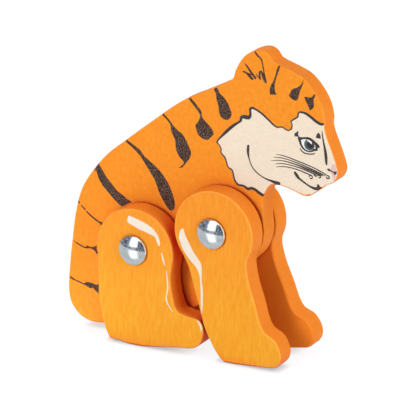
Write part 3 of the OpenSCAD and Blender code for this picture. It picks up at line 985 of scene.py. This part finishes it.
def print_legs(boards):
    """The pale highlights on the outer face of each leg, turned with the leg as it rests."""
    white = ink("white_print")
    rear = [shape(REAR_LEG_BLOT)] + [brush(s) for s in REAR_LEG_STROKES]
    front = [shape(FRONT_LEG_BLOT)]
    for joint in frame["joints"]:
        leg = joint["child"]
        pin = np.array([joint["pos_m"][0], joint["pos_m"][2]]) / MM
        # The range of a leg that rests swung forward starts as far below zero as it is swung
        turn = math.radians(-joint["range_deg"][0])
        turned = np.array([[math.cos(turn), math.sin(turn)], [-math.sin(turn), math.cos(turn)]])
        marks = [m @ turned + pin for m in (rear if leg.startswith("rear") else front)]
        print_piece("highlights_" + leg, marks, boards[leg], outer_side(leg), INK_HIGH, white,
                    leg, STRIPE_REACH)


def build_hardware():
    zinc = plated_metal("zinc_cap")
    finishes = {
        "pin": (plated_metal("pin_steel"), "pin_steel"),
        "grip": (plated_metal("spring_steel"), "spring_steel"),
        "spacer": (fibre_board("spacer_fibre"), "spacer_fibre"),
    }
    for node, piece in frame["nodes"].items():
        kind = node.split("_")[1]
        if kind == "cap":
            cap_piece(node, zinc, "body")
        elif kind in finishes:
            material, slot = finishes[kind]
            for place in piece.material_slots:
                place.material = material


# The studio

# The floor: radius in metres, how far it lies below the object in millimetres, sides, grey and roughness
FLOOR_RADIUS = 3.0
FLOOR_GAP = 0.02
FLOOR_SIDES = 96
FLOOR_WHITE = 0.86
FLOOR_ROUGHNESS = 0.9
# What the camera sees of the floor: its own colour's share, the white added, and the shade near a piece
FLOOR_SHARE = 0.22
FLOOR_LIFT = (0.85, 0.86, 0.87)
CONTACT_REACH = 3
CONTACT_SHADE = 0.55
CONTACT_SAMPLES = 16

SKY_STRENGTH = 0.05
WHITE = (1.0, 1.0, 1.0)
LAMP_AIM = (0, 0, 0.06)
# Lamps: place, the point aimed at, width and length in metres, and power in watts
LAMPS = {
    "key": ((-0.27, -0.84, 0.42), LAMP_AIM, (0.24, 0.6), 5.1),
    "key_top": ((-0.16, -0.62, 0.83), LAMP_AIM, (0.5, 0.5), 0.95),
    "fill": ((1.14, -0.38, 0.44), LAMP_AIM, (0.5, 0.5), 5.4),
    "fill_behind": ((1.1, 0.5, 0.4), LAMP_AIM, (0.8, 0.7), 2.8),
    "top_right": ((0.8, 0, 1.1), LAMP_AIM, (0.8, 0.8), 6.6),
    "behind": ((-0.15, 1.35, 0.28), LAMP_AIM, (1.2, 0.8), 10.0),
    "behind_left": ((-1.15, 0.35, 0.6), LAMP_AIM, (0.8, 0.8), 10.0),
    # A strip of bright table below the rump
    "rump_table": ((-0.085, -0.03, 0.001), (-0.085, -0.03, 1.0), (0.08, 0.05), 0.02),
}

# What bright metal mirrors. A direction is an angle round from straight abeam, in radians and positive
# towards the nose, and a height from -1 below to 1 overhead. Both sides face the same studio, one mirrored.
MIRROR_SLATE = (0.04, 0.048, 0.066)
MIRROR_PALE = (0.46, 0.5, 0.58)
MIRROR_TABLE = (0.63, 0.665, 0.675)
MIRROR_DULL = (0.46, 0.48, 0.49)
MIRROR_HAZE = (0.28, 0.32, 0.4)
MIRROR_WHITE = (1.35, 1.35, 1.35)
# Each panel's bounds, from and to round and from and to in height, and how soft its sides and ends are: the
# lamp's box, its stand, the haze on the rump's side of it, its glare on the table, and a white screen on the
# nose's side
SOFT_BOX = ((-0.58, 0.08, 0.04, 1.2), 0.05, 0.03)
BOX_STAND = ((-0.44, -0.04, -0.3, 0.1), 0.05, 0.05)
BOX_HAZE = ((-0.8, -0.5, -0.3, 0.4), 0.06, 0.08)
TABLE_GLARE = ((-0.6, 0.08, -0.7, -0.17), 0.16, 0.08)
WHITE_SCREEN = ((1.05, 1.7, -0.5, 0.85), 0.04, 0.05)
# The box widens towards the nose from this height up, by this much overhead
SOFT_BOX_WIDENS_FROM = 0.45
SOFT_BOX_WIDENS_BY = 1.5
# Blotches: their detail, and then cells across and the noise at which one starts and is full
BLOTCH_DETAIL = 4.0
SLATE_BLOTCHES = (12.0, 0.43, 0.64)
TABLE_BLOTCHES = (3.0, 0.4, 0.7)
# The far side of the table: its height straight abeam, its slope, how much more it slopes on the nose's
# side, and how soft it is
HORIZON = -0.17
HORIZON_SLOPE = -0.07
HORIZON_SLOPE_MORE = -0.08
HORIZON_SOFT = 0.03


def aimed(obj, place, aim):
    obj.location = place
    obj.rotation_euler = (Vector(aim) - Vector(place)).to_track_quat("-Z", "Y").to_euler()
    bpy.context.scene.collection.objects.link(obj)
    return obj


def build_camera():
    camera = bpy.data.cameras.new("camera")
    camera.sensor_width = SENSOR
    camera.lens = LENS
    camera.clip_start = CLIP_START
    camera.clip_end = CLIP_END
    turn, rise = math.radians(VIEW_TURN), math.radians(VIEW_RISE)
    away = Vector((math.sin(turn) * math.cos(rise), -math.cos(turn) * math.cos(rise), math.sin(rise)))
    aim = Vector(VIEW_AIM) * MM
    bpy.context.scene.camera = aimed(
        bpy.data.objects.new("camera", camera), aim + away * VIEW_DISTANCE * MM, aim)


def build_lamps():
    for name, (place, aim, size, power) in LAMPS.items():
        lamp = bpy.data.lights.new(name, "AREA")
        lamp.shape = "RECTANGLE"
        lamp.size, lamp.size_y = size
        lamp.energy = power
        lamp_object = aimed(bpy.data.objects.new(name, lamp), place, aim)
        lamp_object.visible_camera = False
        lamp_object.visible_glossy = False


def build_floor():
    bm = bmesh.new()
    bmesh.ops.create_circle(bm, cap_ends=True, segments=FLOOR_SIDES, radius=FLOOR_RADIUS)
    mesh = mesh_of("floor", bm)
    mesh.transform(Matrix.Translation((0, 0, -FLOOR_GAP * MM)))
    m = Material("pale_floor", FLOOR_ROUGHNESS, specular=0.0)
    seen = m.node("LightPath", {}, "Is Camera Ray")
    m.set("Base Color", m.mix(seen, tinted(WHITE, FLOOR_WHITE), tinted(WHITE, FLOOR_WHITE * FLOOR_SHARE)))
    shade = m.remap(m.openness(CONTACT_REACH, CONTACT_SAMPLES), 0.0, 1.0, 1 - CONTACT_SHADE, 1.0)
    m.set("Emission Color", FLOOR_LIFT)
    m.set("Emission Strength", m.math("MULTIPLY", seen, shade))
    floor = placed("floor", mesh, m.material)
    floor.visible_glossy = False


class Surroundings(Nodes):
    """The world's nodes, which say what is seen in each direction."""

    def __init__(self, world):
        super().__init__(world)
        self.nodes.clear()
        self.way = self.node("TexCoord", {}, "Generated")
        x, y, self.height = (self.node("SeparateXYZ", {"Vector": self.way}, axis) for axis in "XYZ")
        self.turn = self.math("ARCTAN2", x, self.math("ABSOLUTE", y))

    def panel(self, bounds, soft_turn, soft_height, widened=0.0):
        """1 inside the bounds and 0 outside. A negative widened moves the nose's side out by as much."""
        from_turn, to_turn, from_height, to_height = bounds
        nose_turn = self.math("ADD", self.turn, widened)
        sides = ((self.turn, from_turn, soft_turn), (nose_turn, to_turn, -soft_turn),
                 (self.height, from_height, soft_height), (self.height, to_height, -soft_height))
        within = 1.0
        for value, side, soft in sides:
            within = self.math("MULTIPLY", within, self.step_up(value, side - soft, side + soft))
        return within

    def blotches(self, scale, low, high):
        cells = {"Vector": self.way, "Scale": scale, "Detail": BLOTCH_DETAIL}
        return self.step_up(self.node("TexNoise", cells, "Fac"), low, high)

    def mirrored(self):
        """The studio that bright metal mirrors."""
        slate = self.mix(self.blotches(*SLATE_BLOTCHES), MIRROR_SLATE, MIRROR_PALE)
        slate = self.mix(self.panel(*BOX_HAZE), slate, MIRROR_HAZE)
        overhead = self.step_up(self.height, SOFT_BOX_WIDENS_FROM, 1.0)
        widened = self.math("MULTIPLY", overhead, -SOFT_BOX_WIDENS_BY)
        stand = self.mix(self.panel(*BOX_STAND), slate, MIRROR_DULL)
        above = self.mix(self.panel(*SOFT_BOX, widened), stand, MIRROR_WHITE)
        table = self.mix(self.blotches(*TABLE_BLOTCHES), MIRROR_TABLE, MIRROR_DULL)
        below = self.mix(self.panel(*TABLE_GLARE), table, MIRROR_WHITE)
        more = self.math("MULTIPLY", self.math("MAXIMUM", self.turn, 0.0), -HORIZON_SLOPE_MORE)
        fall = self.math("ADD", self.math("MULTIPLY", self.turn, -HORIZON_SLOPE), more)
        over_horizon = self.step_up(self.math("ADD", self.height, fall), HORIZON - HORIZON_SOFT,
                                    HORIZON + HORIZON_SOFT)
        return self.mix(self.panel(*WHITE_SCREEN), self.mix(over_horizon, below, above), MIRROR_WHITE)

    def light(self, colour, strength):
        return self.node("Background", {"Color": colour, "Strength": strength}, "Background")


def build_world():
    """Even soft light, white all round as the camera sees it, and a studio for bright metal to mirror."""
    world = bpy.data.worlds.new("studio")
    bpy.context.scene.world = world
    studio = Surroundings(world)
    light = studio.light(WHITE, SKY_STRENGTH)
    mirrored = studio.light(studio.mirrored(), 1.0)
    for ray, seen in (("Is Glossy Ray", mirrored), ("Is Camera Ray", studio.light(WHITE, 1.0))):
        factor = studio.node("LightPath", {}, ray)
        light = studio.node("MixShader", {0: factor, 1: light, 2: seen}, "Shader")
    output = studio.nodes.new("ShaderNodeOutputWorld")
    studio.feed(output.inputs["Surface"], light)


def build_studio():
    build_floor()
    build_lamps()
    build_world()
    bpy.context.scene.view_settings.view_transform = "Standard"


build_camera()
all_boards = build_boards()
print_body(all_boards["body_board"])
print_legs(all_boards)
build_hardware()
build_studio()
